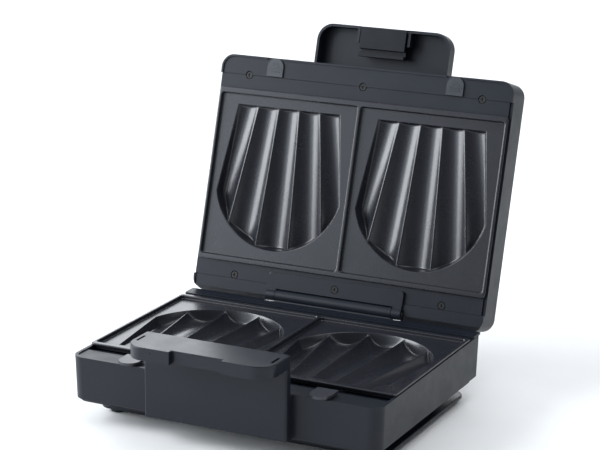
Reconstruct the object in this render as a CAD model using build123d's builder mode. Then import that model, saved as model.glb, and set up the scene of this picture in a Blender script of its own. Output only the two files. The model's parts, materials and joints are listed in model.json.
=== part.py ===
from build123d import *
from math import cos, radians, sin, sqrt
import os

# Twin-plate snack maker with shell-shaped cavities, standing open.
#
# Frame: +Z up, X along the hinge, -Y towards the handle. The origin is on the table under the middle
# of the open machine. Sizes are in millimetres. Places are given from the DATUM plane: its origin is the
# middle of the lower plate's back edge and it lies in the lower plate's rim. The lid's pieces are drawn
# closed over the base, then swung open about the hinge.

# ---------------------------------------------------------------- driving dimensions
RIM_HEIGHT = 55.0  # lower plate's rim above the table
PLATE_BACK = 42.72  # plate's back edge behind the origin
LID_OPEN = 106.75  # degrees, at the lid's stop

PLATE_HALF = 130.0  # half the plate's width
PLATE_DEPTH = 145.9
PLATE_EDGE = 1.9  # thickness of the rim's overhanging edge
PLATE_BODY_HALF = 128.7  # the plate's body under that edge
PLATE_BODY_FRONT = -143.4
PLATE_BODY_BACK = -2.2
SHEET = 2.2  # thickness of the plate's casting
PLATE_GAP = 0.4  # between the two rims when closed
CELL_X = 64.5  # centre of each cell
CELL_WIDTH = 125.6
CELL_FRONT = -141.0
CELL_BACK = -4.5
CELL_DEPTH = 3.0

FLUTE_RADIUS = 17.0
FLUTE_STEP = 5.5  # degrees between neighbouring flutes
FLUTE_FALL = 7.0 / 115.0  # slope of the flutes' floors
FLUTE_START_DEPTH = 6.0  # floor of a flute at the straight edge, below the rim
FAN_RADIUS = 197.0  # from the fan's centre to the straight edge
SHELL_STRAIGHT_Y = -132.4
SHELL_STRAIGHT_HALF = 47.0
SHELL_ARC_RADIUS = 59.0
SHELL_ARC_Y = -72.5
SHELL_SIDE_END_Y = -58.0  # where the straight sides meet the arc
SHELL_DRAFT = 16.0  # degrees

BODY_HALF = 130.7  # base housing, at its top
BODY_FOOT_HALF = 129.4  # and at its bottom
BODY_FRONT = -174.0
BODY_BACK = 16.5
BODY_BOTTOM = -36.6
BODY_TOP = -2.3
BODY_CORNER = 10.0
BODY_REAR_CORNER = 1.6
LEDGE = -3.2  # ledge in front of the plate, inside the housing's lip
LIP = 2.6
CHANNEL = -5.6  # floor of the channel between the ledge and the plate
CHANNEL_FRONT = -153.0
HOLLOW_TOP = -8.0
REAR_DECK = -0.4
REAR_LIP = 19.2  # back edge of the strip behind the plate, beside the hinge
WALL = 2.4
WELL_HALF = 129.05
WELL_FRONT = -143.8
WELL_BACK = -1.8

NECK_HALF = 109.0  # pedestal that the mains lead winds round
NECK_FRONT = -137.0
NECK_BACK = -3.0
FLANGE_HALF = 123.3
FLANGE_FRONT = -148.0
FLANGE_BACK = 10.0
FLANGE_TOP = -48.6
FLANGE_BOTTOM = -51.2
FOOT_RADIUS = 6.5
FOOT_PLACES = [(-110, -138), (110, -138), (-110, -3), (110, -3)]

HINGE_Y = 22.34
HINGE_Z = 2.94
BARREL_RADIUS = 5.0
BARREL_HALF = 52.5
PIN_RADIUS = 1.5
RUNNING_CLEARANCE = 0.05
EAR_INNER = 53.0
EAR_OUTER = 60.5

SCREW_HEAD = 1.4
SCREW_HEAD_RADIUS = 2.8
SCREW_RADIUS = 1.3

LID_HALF = 131.5
LID_FRONT = -173.7
LID_BACK = 27.5
LID_FACE_BACK = 22.3  # back edge of the flat underside
LID_REAR_SLANT = 7.0  # height that the slanted underside behind it reaches
LID_BOTTOM = 1.0
LID_FACE = 2.0  # flat bands of the lid's underside
LID_TOP = 30.0
LID_CORNER = 11.0
LID_WALL = 2.45
SIDE_RIM = 3.8  # lower edge of the lid's sides, between the frame's seams
FRAME_FRONT = -157.5  # seams of the lid's inner frame
FRAME_BACK = 13.5
SEAM = 0.2

GRIP_HALF = 60.0  # lower grip
GRIP_FRONT = -212.6
GRIP_BACK = -176.8
GRIP_TOP = 29.0
GRIP_BOTTOM = 19.0
GRIP_CORNER = 15.0
POST_FRONT = -183.0
RECESS_HALF = 21.3  # recess that takes the latch
RECESS_DEPTH = 4.2
POST_SCREW = (38, -20)  # place across and up of the post's screws

HANDLE_HALF = 60.6  # upper handle
HANDLE_FRONT = -210.0
HANDLE_RIM = 31.0
HANDLE_FLOOR = 40.5
HANDLE_TOP = 43.0
HANDLE_CORNER = 14.0
HANDLE_WALL = 2.2
NOTCH_HALF = 21.9
LATCH_HALF = 20.6
LATCH_Y = -207.6
LATCH_Z = 34.0
LATCH_PIN_RADIUS = 1.0

TAB_X = 81.0  # release tabs
CATCH_HALF = 5.0
LEAF_FOOT_Z = -27.0

DATUM = Plane((0, PLATE_BACK, RIM_HEIGHT))
HINGE_AXIS = Axis((0, PLATE_BACK + HINGE_Y, RIM_HEIGHT + HINGE_Z), (1, 0, 0))
SIDES = (-1, 1)


# ---------------------------------------------------------------- shapes used by many pieces
def span(low, high):
    """Sorted pair, so that a mirrored span stays valid."""
    return (min(low, high), max(low, high))


def block(x, y, z, radius=0.0, mode=Mode.ADD):
    """Upright block between the pairs x, y and z, with its upright edges rounded."""
    width = x[1] - x[0]
    depth = y[1] - y[0]
    with BuildSketch(DATUM.offset(z[0])) as outline:
        with Locations((x[0] + width / 2, y[0] + depth / 2)):
            if radius > 0:
                RectangleRounded(width, depth, radius)
            else:
                Rectangle(width, depth)
    extrude(outline.sketch, amount=z[1] - z[0], mode=mode)


def nosed_block(half, y, z, front_radius, back_radius=1.0, mode=Mode.ADD):
    """Upright block centred in X, with its two front corners rounded more than its back ones."""
    with BuildSketch(DATUM.offset(z[0])) as outline:
        with Locations((0, (y[0] + y[1]) / 2)):
            Rectangle(2 * half, y[1] - y[0])
        fillet(outline.vertices().group_by(Axis.Y)[0], radius=front_radius)
        fillet(outline.vertices().group_by(Axis.Y)[-1], radius=back_radius)
    extrude(outline.sketch, amount=z[1] - z[0], mode=mode)


def pillar(x, y, z, radius, mode=Mode.ADD):
    """Upright cylinder between the heights z."""
    with BuildSketch(DATUM.offset(z[0])) as outline:
        with Locations((x, y)):
            Circle(radius)
    extrude(outline.sketch, amount=z[1] - z[0], mode=mode)


def side_plane(x):
    """Plane across the machine at x, with its own X along the depth and its own Y up."""
    return Plane((x, PLATE_BACK, RIM_HEIGHT), x_dir=(0, 1, 0), z_dir=(1, 0, 0))


def front_plane(y):
    """Upright plane at depth y that looks to the front, with its own Y up."""
    return Plane((0, PLATE_BACK + y, RIM_HEIGHT), x_dir=(1, 0, 0), z_dir=(0, -1, 0))


def rod(x, y, z, radius, mode=Mode.ADD):
    """Cylinder along X between the pair x."""
    with BuildSketch(side_plane(x[0])) as outline:
        with Locations((y, z)):
            Circle(radius)
    extrude(outline.sketch, amount=x[1] - x[0], mode=mode)


def ridge(x, points, mode=Mode.ADD):
    """Prism along X whose section has the given corners (depth, height)."""
    with BuildSketch(side_plane(x[0])) as outline:
        Polygon(*points, align=None)
    extrude(outline.sketch, amount=x[1] - x[0], dir=(1, 0, 0), mode=mode)


def facing_rod(x, y, z, radius, mode=Mode.ADD):
    """Cylinder along Y between the pair y."""
    with BuildSketch(front_plane(y[1])) as outline:
        with Locations((x, z)):
            Circle(radius)
    extrude(outline.sketch, amount=y[1] - y[0], mode=mode)


def pan_head_screw(x, y, head_z, length):
    """Upright screw whose crosshead looks down; head_z is its lowest face, length is without the head."""
    pillar(x, y, (head_z, head_z + SCREW_HEAD), SCREW_HEAD_RADIUS)
    pillar(x, y, (head_z + SCREW_HEAD, head_z + SCREW_HEAD + length), SCREW_RADIUS)
    cross_z = (head_z, head_z + 0.8)
    for reach in ((1.6, 0.35), (0.35, 1.6)):
        block((x - reach[0], x + reach[0]), (y - reach[1], y + reach[1]), cross_z, mode=Mode.SUBTRACT)


# ---------------------------------------------------------------- cooking plates
def shell_prism(margin, bottom):
    """Outline of the shell, round at the hinge side and straight at the handle side, cut with draft."""
    radius = SHELL_ARC_RADIUS + margin
    straight_y = SHELL_STRAIGHT_Y - margin
    straight_x = SHELL_STRAIGHT_HALF + margin
    side_end_x = sqrt(radius**2 - (SHELL_SIDE_END_Y - SHELL_ARC_Y) ** 2)
    with BuildSketch(Plane.XY.offset(-CELL_DEPTH)) as outline:
        with BuildLine():
            Line((-straight_x, straight_y), (straight_x, straight_y))
            Line((straight_x, straight_y), (side_end_x, SHELL_SIDE_END_Y))
            ThreePointArc(
                (side_end_x, SHELL_SIDE_END_Y),
                (0, SHELL_ARC_Y + radius),
                (-side_end_x, SHELL_SIDE_END_Y),
            )
            Line((-side_end_x, SHELL_SIDE_END_Y), (-straight_x, straight_y))
        make_face()
    depth = bottom - CELL_DEPTH
    extrude(outline.sketch, amount=depth, dir=(0, 0, -1), taper=SHELL_DRAFT, mode=Mode.INTERSECT)


def flute_bundle(radius):
    """Five cylinders fanned about one centre, sinking towards the round end."""
    fan_y = SHELL_STRAIGHT_Y - FAN_RADIUS
    run_in = 12.0
    start = FAN_RADIUS - run_in
    start_z = FLUTE_RADIUS - FLUTE_START_DEPTH + run_in * FLUTE_FALL
    for step in range(-2, 3):
        angle = radians(step * FLUTE_STEP)
        origin = (start * sin(angle), fan_y + start * cos(angle), start_z)
        heading = (sin(angle), cos(angle), -FLUTE_FALL)
        with Locations(Plane(origin, z_dir=heading)):
            Cylinder(radius, 150.0, align=(Align.CENTER, Align.CENTER, Align.MIN))


with BuildPart() as shell_cavity:
    flute_bundle(FLUTE_RADIUS)
    shell_prism(0.0, 16.0)

with BuildPart() as shell_back:
    flute_bundle(FLUTE_RADIUS + SHEET)
    shell_prism(SHEET, 18.5)

LUG_Y = (-143.4, -140.4)
REAR_LUG_Y = (-5.2, -2.2)
WINDOW_Z = (-12.4, -9.6)

with BuildPart() as lower_plate:
    block((-PLATE_HALF, PLATE_HALF), (-PLATE_DEPTH, 0), (-PLATE_EDGE, 0), 3.0)
    body_z = (-CELL_DEPTH - SHEET, 0)
    block((-PLATE_BODY_HALF, PLATE_BODY_HALF), (PLATE_BODY_FRONT, PLATE_BODY_BACK), body_z, 2.0)
    with Locations(DATUM * Location((-CELL_X, 0, 0)), DATUM * Location((CELL_X, 0, 0))):
        add(shell_back.part)
    for side in SIDES:
        centre = side * CELL_X
        cell = (centre - CELL_WIDTH / 2, centre + CELL_WIDTH / 2)
        block(cell, (CELL_FRONT, CELL_BACK), (-CELL_DEPTH, 0), 2.0, mode=Mode.SUBTRACT)
    with Locations(DATUM * Location((-CELL_X, 0, 0)), DATUM * Location((CELL_X, 0, 0))):
        add(shell_cavity.part, mode=Mode.SUBTRACT)
    for side in SIDES:
        for lug_y in (LUG_Y, REAR_LUG_Y):
            lug_x = (side * TAB_X - 8, side * TAB_X + 8)
            window_x = (side * TAB_X - CATCH_HALF - 0.6, side * TAB_X + CATCH_HALF + 0.6)
            block(lug_x, lug_y, (-15.0, -CELL_DEPTH - SHEET + 0.5))
            block(window_x, lug_y, WINDOW_Z, mode=Mode.SUBTRACT)

with BuildPart() as upper_plate:
    mirror(lower_plate.part, about=DATUM.offset(PLATE_GAP / 2))


# ---------------------------------------------------------------- heating, below the plate
REFLECTOR_Z = -26.8
REFLECTOR_SHEET = 0.8
ELEMENT_Z = -19.4
ELEMENT_RADIUS = 3.0

with BuildPart() as lower_reflector:
    block((-119, 119), (-138, -12), (REFLECTOR_Z, REFLECTOR_Z + 6), 10.0)
    inner_x = (-119 + REFLECTOR_SHEET, 119 - REFLECTOR_SHEET)
    inner_y = (-138 + REFLECTOR_SHEET, -12 - REFLECTOR_SHEET)
    block(inner_x, inner_y, (REFLECTOR_Z + REFLECTOR_SHEET, REFLECTOR_Z + 6), 9.2, mode=Mode.SUBTRACT)

with BuildPart() as lower_element:
    with BuildLine(DATUM.offset(ELEMENT_Z)) as element_path:
        corners = [(-9, -16), (-9, -30), (-108, -30), (-108, -122)]
        mirrored = [(-x, y) for x, y in reversed(corners)]
        FilletPolyline(*corners, *mirrored, radius=[5, 14, 14, 14, 14, 5])
    with BuildSketch(Plane(element_path.line @ 0, z_dir=element_path.line % 0)):
        Circle(ELEMENT_RADIUS)
    sweep()

CLIP_PLACES = [(-108, -76), (108, -76), (-50, -122), (50, -122)]
with BuildPart() as lower_element_clips:
    clip_z = (REFLECTOR_Z + REFLECTOR_SHEET, ELEMENT_Z + ELEMENT_RADIUS + 1.0)
    for clip_x, clip_y in CLIP_PLACES:
        along_y = abs(clip_x) > 100
        reach = (5.0, 3.0) if along_y else (3.0, 5.0)
        block((clip_x - reach[0], clip_x + reach[0]), (clip_y - reach[1], clip_y + reach[1]), clip_z)
    add(lower_element.part, mode=Mode.SUBTRACT)

with BuildPart() as lower_thermostat:
    body_base = REFLECTOR_Z + REFLECTOR_SHEET
    block((-16, 16), (-78, -66), (body_base, body_base + 1.2), 3.0)
    pillar(0, -72, (body_base, body_base + 7.0), 8.5)
    for side in SIDES:
        block(span(side * 10.2, side * 11.0), (-75, -69), (body_base + 1.2, body_base + 9.0))

with BuildPart() as thermal_fuse:
    block((44, 76), (-64.5, -55.5), (body_base, body_base + 0.8), 1.0)
    rod((46, 74), -60, body_base + 3.8, 3.0)

with BuildPart() as terminal_block:
    block((20, 48), (0, 12), (-34.0, -22.0), 1.0)
    for slot in range(3):
        pillar(25.5 + 8.5 * slot, 6, (-25.0, -22.0), 2.4, mode=Mode.SUBTRACT)


def mirrored_pair(piece):
    """Lid's copy of a base piece, reflected in the plane between the two rims."""
    mirror(piece.part, about=DATUM.offset(PLATE_GAP / 2))


# ---------------------------------------------------------------- base housing
TAB_SLOT_Y = (-167.0, -158.0)
BOSS_PLACES = [(-118, -161), (118, -161), (-118, 8), (118, 8)]
BOSS_RADIUS = 4.2
GLAND_X = 98.0
GLAND_Z = -20.0
GLAND_HOLE = 6.0
LEAD_HOLE = 3.65

with BuildPart() as base_housing:
    # sides that draw in towards the bottom, with round corners in front and close ones behind
    for half, height in ((BODY_HALF, BODY_TOP), (BODY_FOOT_HALF, BODY_BOTTOM)):
        with BuildSketch(DATUM.offset(height)) as level:
            with Locations((0, (BODY_FRONT + BODY_BACK) / 2)):
                Rectangle(2 * half, BODY_BACK - BODY_FRONT)
            fillet(level.vertices().group_by(Axis.Y)[0], radius=BODY_CORNER)
            fillet(level.vertices().group_by(Axis.Y)[-1], radius=BODY_REAR_CORNER)
    loft(ruled=True)
    bottom_rim = base_housing.faces().sort_by(Axis.Z)[0].edges()
    fillet(bottom_rim, radius=0.7)
    # raised strip behind the plate, with a drip groove along it
    block((-BODY_HALF + 0.3, BODY_HALF - 0.3), (5.0, BODY_BACK), (BODY_TOP, REAR_DECK), 1.5)
    block((-BODY_HALF + 9, BODY_HALF - 9), (8.0, 9.2), (REAR_DECK - 0.8, REAR_DECK), mode=Mode.SUBTRACT)
    for side in SIDES:
        lip_x = span(side * 62.0, side * (BODY_HALF - 0.3))
        block(lip_x, (BODY_BACK - 2, REAR_LIP), (BODY_TOP, REAR_DECK))
    # hollow from below, up to the ledge in front, the deck behind and the well between them
    inner_x = (-BODY_HALF + WALL, BODY_HALF - WALL)
    block(inner_x, (BODY_FRONT + WALL, BODY_BACK - WALL), (BODY_BOTTOM, HOLLOW_TOP), 7.6, Mode.SUBTRACT)
    ledge_x = (-BODY_HALF + LIP, BODY_HALF - LIP)
    ledge_y = (BODY_FRONT + LIP, -100)
    block(ledge_x, ledge_y, (LEDGE, BODY_TOP), BODY_CORNER - LIP, mode=Mode.SUBTRACT)
    block(ledge_x, (CHANNEL_FRONT, -100), (CHANNEL, LEDGE), mode=Mode.SUBTRACT)
    block((-WELL_HALF, WELL_HALF), (WELL_FRONT, WELL_BACK), (HOLLOW_TOP, BODY_TOP), 1.0, Mode.SUBTRACT)
    for boss_x, boss_y in BOSS_PLACES:
        pillar(boss_x, boss_y, (BODY_BOTTOM, HOLLOW_TOP), BOSS_RADIUS)
        pillar(boss_x, boss_y, (BODY_BOTTOM, BODY_BOTTOM + 18), 1.3, mode=Mode.SUBTRACT)
    for side in SIDES:
        slot_x = (side * TAB_X - 5.0, side * TAB_X + 5.0)
        block(slot_x, TAB_SLOT_Y, (HOLLOW_TOP, LEDGE), mode=Mode.SUBTRACT)
        front_wall = (BODY_FRONT - 1, BODY_FRONT + WALL + 1)
        facing_rod(side * POST_SCREW[0], front_wall, POST_SCREW[1], 1.7, mode=Mode.SUBTRACT)
    back_wall = (BODY_BACK - WALL - 1, BODY_BACK + 1)
    facing_rod(GLAND_X, back_wall, GLAND_Z, GLAND_HOLE, mode=Mode.SUBTRACT)

with BuildPart() as bottom_cover:
    cover_bottom = BODY_BOTTOM - 2.2
    block((-127.5, 127.5), (-171.0, 13.5), (cover_bottom, BODY_BOTTOM), 9.0)
    neck_x = (-NECK_HALF, NECK_HALF)
    block(neck_x, (NECK_FRONT, NECK_BACK), (FLANGE_TOP, cover_bottom), 12.0)
    hollow_x = (-NECK_HALF + WALL, NECK_HALF - WALL)
    hollow_y = (NECK_FRONT + WALL, NECK_BACK - WALL)
    block(hollow_x, hollow_y, (FLANGE_TOP, BODY_BOTTOM), 9.6, mode=Mode.SUBTRACT)
    for boss_x, boss_y in BOSS_PLACES:
        pillar(boss_x, boss_y, (cover_bottom, BODY_BOTTOM), 1.7, mode=Mode.SUBTRACT)
    for post_x in (-90, 90):
        for post_y in (-110, -40):
            pillar(post_x, post_y, (BODY_BOTTOM, REFLECTOR_Z), 3.5)
    for side in SIDES:
        leaf_x = (side * TAB_X - CATCH_HALF, side * TAB_X + CATCH_HALF)
        block(leaf_x, (-152.0, -147.2), (BODY_BOTTOM, LEAF_FOOT_Z))
        block(leaf_x, (0.4, 5.2), (BODY_BOTTOM, LEAF_FOOT_Z))

with BuildPart() as cord_wrap_plate:
    flange_x = (-FLANGE_HALF, FLANGE_HALF)
    block(flange_x, (FLANGE_FRONT, FLANGE_BACK), (FLANGE_BOTTOM, FLANGE_TOP), 11.0)
    fillet(cord_wrap_plate.edges().group_by(Axis.Z)[-1], radius=0.8)
    for row in range(7):
        vent_y = -100.0 + row * 10.0
        block((-40, 40), (vent_y, vent_y + 3.0), (FLANGE_BOTTOM, FLANGE_TOP), mode=Mode.SUBTRACT)

with BuildPart() as rubber_feet:
    for foot_x, foot_y in FOOT_PLACES:
        with BuildSketch(DATUM.offset(FLANGE_BOTTOM)):
            with Locations((foot_x, foot_y)):
                Circle(FOOT_RADIUS)
        extrude(amount=-RIM_HEIGHT - FLANGE_BOTTOM, taper=10)

with BuildPart() as base_screws:
    for boss_x, boss_y in BOSS_PLACES:
        pan_head_screw(boss_x, boss_y, BODY_BOTTOM - 2.2 - SCREW_HEAD, 13.0)


# ---------------------------------------------------------------- lower handle
ARM_Z = (19.3, 22.3)
ARM_HALF = 56.5
ARM_BACK = GRIP_BACK - 2.6
RECESS_WALL = GRIP_FRONT + RECESS_DEPTH + WALL
GRIP_SCREW = (44, -190)

with BuildPart() as handle_post:
    post_x = (-GRIP_HALF, GRIP_HALF)
    block(post_x, (POST_FRONT, BODY_FRONT), (BODY_BOTTOM, BODY_TOP - 0.3))
    block(post_x, (POST_FRONT, GRIP_BACK), (BODY_BOTTOM, GRIP_BOTTOM))
    fillet(handle_post.edges().filter_by(Axis.Z).group_by(Axis.Y)[0], radius=2.0)
    core_x = (-GRIP_HALF + WALL, GRIP_HALF - WALL)
    core_z = (BODY_BOTTOM + WALL, BODY_TOP - 3)
    block(core_x, (POST_FRONT + WALL, BODY_FRONT), core_z, mode=Mode.SUBTRACT)
    block(core_x, (POST_FRONT + 2, GRIP_BACK - 2), (core_z[1], GRIP_BOTTOM - WALL), mode=Mode.SUBTRACT)
    # arm inside the grip
    block((-ARM_HALF, ARM_HALF), (POST_FRONT + 0.2, ARM_BACK), (GRIP_BOTTOM - 1, ARM_Z[1]))
    nosed_block(ARM_HALF, (-208.0, ARM_BACK), ARM_Z, 11.0)
    block((-24.5, 24.5), (-210.0, RECESS_WALL + 0.4), ARM_Z, mode=Mode.SUBTRACT)
    for side in SIDES:
        pillar(side * GRIP_SCREW[0], GRIP_SCREW[1], ARM_Z, 1.5, mode=Mode.SUBTRACT)
        facing_rod(side * POST_SCREW[0], (POST_FRONT + 1, BODY_FRONT), POST_SCREW[1], 3.5)
        hole_y = (BODY_FRONT - 6, BODY_FRONT)
        facing_rod(side * POST_SCREW[0], hole_y, POST_SCREW[1], SCREW_RADIUS, mode=Mode.SUBTRACT)

with BuildPart() as lower_grip:
    nosed_block(GRIP_HALF, (GRIP_FRONT, GRIP_BACK), (GRIP_BOTTOM, GRIP_TOP), GRIP_CORNER)
    recess_x = (-RECESS_HALF, RECESS_HALF)
    block(recess_x, (GRIP_FRONT - 1, GRIP_FRONT + RECESS_DEPTH), (GRIP_BOTTOM, GRIP_TOP), mode=Mode.SUBTRACT)
    fillet(lower_grip.edges().group_by(Axis.Z)[-1], radius=0.8)
    # hollow from below, with the wall kept round the recess
    with BuildSketch(DATUM.offset(GRIP_BOTTOM)) as grip_hollow:
        with Locations((0, (GRIP_FRONT + GRIP_BACK) / 2)):
            Rectangle(2 * (GRIP_HALF - WALL), GRIP_BACK - GRIP_FRONT - 2 * WALL)
        fillet(grip_hollow.vertices().group_by(Axis.Y)[0], radius=GRIP_CORNER - WALL)
        with Locations((0, GRIP_FRONT)):
            Rectangle(2 * (RECESS_HALF + WALL), 2 * (RECESS_DEPTH + WALL), mode=Mode.SUBTRACT)
    extrude(amount=GRIP_TOP - GRIP_BOTTOM - WALL, mode=Mode.SUBTRACT)
    for side in SIDES:
        slot_x = span(side * 55.0, side * 57.0)
        block(slot_x, (-199.0, -187.0), (GRIP_TOP - 1.8, GRIP_TOP), mode=Mode.SUBTRACT)
        pillar(side * GRIP_SCREW[0], GRIP_SCREW[1], (ARM_Z[1], GRIP_TOP - WALL), 3.6)
        pillar(side * GRIP_SCREW[0], GRIP_SCREW[1], (ARM_Z[1], GRIP_TOP - WALL), 1.3, mode=Mode.SUBTRACT)

with BuildPart() as grip_screws:
    for side in SIDES:
        pan_head_screw(side * GRIP_SCREW[0], GRIP_SCREW[1], ARM_Z[0] - SCREW_HEAD, 8.0 - SCREW_HEAD)

with BuildPart() as post_screws:
    wall_face = BODY_FRONT + WALL
    for side in SIDES:
        head_y = (wall_face, wall_face + SCREW_HEAD)
        facing_rod(side * POST_SCREW[0], head_y, POST_SCREW[1], SCREW_HEAD_RADIUS)
        facing_rod(side * POST_SCREW[0], (BODY_FRONT - 6, wall_face), POST_SCREW[1], SCREW_RADIUS)


# ---------------------------------------------------------------- hinge and mains inlet
with BuildPart() as hinge_barrel:
    barrel_x = (-BARREL_HALF, BARREL_HALF)
    web = [(BODY_BACK, -14), (19.5, -14), (24.4, -1.4), (20.0, HINGE_Z), (BODY_BACK, -2.6)]
    ridge(barrel_x, web)
    rod(barrel_x, HINGE_Y, HINGE_Z, BARREL_RADIUS)
    for side in SIDES:
        rod(span(side * 40, side * BARREL_HALF), HINGE_Y, HINGE_Z, PIN_RADIUS, mode=Mode.SUBTRACT)

with BuildPart() as hinge_pins:
    for side in SIDES:
        rod(span(side * 40, side * (EAR_OUTER + 0.8)), HINGE_Y, HINGE_Z, PIN_RADIUS)

with BuildPart() as cord_gland:
    facing_rod(GLAND_X, (BODY_BACK - WALL - 1.6, BODY_BACK), GLAND_Z, GLAND_HOLE - 0.1)
    facing_rod(GLAND_X, (BODY_BACK, BODY_BACK + 5.0), GLAND_Z, 8.0)
    chamfer(cord_gland.edges().group_by(Axis.Y)[-1], length=1.2)
    facing_rod(GLAND_X, (BODY_BACK, BODY_BACK + 6), GLAND_Z, LEAD_HOLE, mode=Mode.SUBTRACT)
    inner_end = (BODY_BACK - WALL - 3, BODY_BACK + 0.2)
    facing_rod(GLAND_X, inner_end, GLAND_Z, LEAD_HOLE + 0.8, mode=Mode.SUBTRACT)


# ---------------------------------------------------------------- release tabs and their catches
TONGUE_Z = (-15.0, -12.8)


def release_tab(tab_x, half, y, plate_z, stem_z, tongue_z):
    """Thumb tab with a half-round front, a stem through the casing and a tongue for the catch spring."""
    with BuildSketch(DATUM.offset(plate_z[0])) as outline:
        with Locations((tab_x, (y[0] + half + y[1]) / 2)):
            Rectangle(2 * half, y[1] - y[0] - half)
        with Locations((tab_x, y[0] + half)):
            Circle(half)
    extrude(outline.sketch, amount=plate_z[1] - plate_z[0])
    block((tab_x - 4.5, tab_x + 4.5), (-163.6, -158.6), stem_z)
    block((tab_x - 7.5, tab_x + 7.5), (-164.5, -145.0), tongue_z)
    slot_x = (tab_x - CATCH_HALF - 0.4, tab_x + CATCH_HALF + 0.4)
    block(slot_x, (-148.6, -146.6), tongue_z, mode=Mode.SUBTRACT)


def catch_leaf(leaf_x, back_y, way):
    """Spring leaf on a foot, hooked into the window of a lug; way is +1 or -1, towards the lug."""
    foot = back_y - way * 4.0
    face = back_y + way * 0.8
    tip = back_y + way * 5.4
    foot_top = LEAF_FOOT_Z + 0.8
    hook = [(face, -12.2), (tip, -11.8), (tip, -11.0), (back_y, -9.8)]
    ridge(
        (leaf_x - CATCH_HALF, leaf_x + CATCH_HALF),
        [(foot, LEAF_FOOT_Z), (face, LEAF_FOOT_Z)] + hook + [(back_y, foot_top), (foot, foot_top)],
    )


base_tabs = {}
lid_tabs = {}
for side_name, side in (("left", -1), ("right", 1)):
    with BuildPart() as base_tab:
        release_tab(side * TAB_X, 8.5, (-176.6, -157.0), (-1.9, 0.3), (-13.0, -1.5), TONGUE_Z)
    base_tabs["lower_release_" + side_name] = base_tab
    with BuildPart() as lid_tab:
        raised_tongue = (PLATE_GAP - TONGUE_Z[1], PLATE_GAP - TONGUE_Z[0])
        release_tab(side * TAB_X, 7.3, (-173.5, -158.2), (0.7, 1.8), (1.5, 13.4), raised_tongue)
    lid_tabs["upper_release_" + side_name] = lid_tab

with BuildPart() as lower_catch_springs:
    for side in SIDES:
        catch_leaf(side * TAB_X, -148.0, 1)
        catch_leaf(side * TAB_X, 1.2, -1)


# ---------------------------------------------------------------- lid
EAR_RADIUS = 4.9
FRAME_FACE = 2.6
FRAME_SHEET = 5.2  # upper side of the frame's strips
FRAME_RAIL = 8.4
FRONT_SCREWS = [(-105, -157.5), (0, -157.5), (105, -157.5)]
REAR_SCREWS = [(-94, 10.4), (94, 10.4)]
BRACKET_SCREW = (0, 10.4)
LID_SCREWS = FRONT_SCREWS + REAR_SCREWS + [BRACKET_SCREW]
SEAT_RADIUS = 3.4
SEAT_TOP = 4.0
LAMP_PLACES = {"power_lamp": (-16, -112), "ready_lamp": (16, -112)}
LAMP_RADIUS = 3.4
HANDLE_SCREW = (40, -156)
BRACKET_HALF = 61.0
BRACKET_FACE = 0.4

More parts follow.
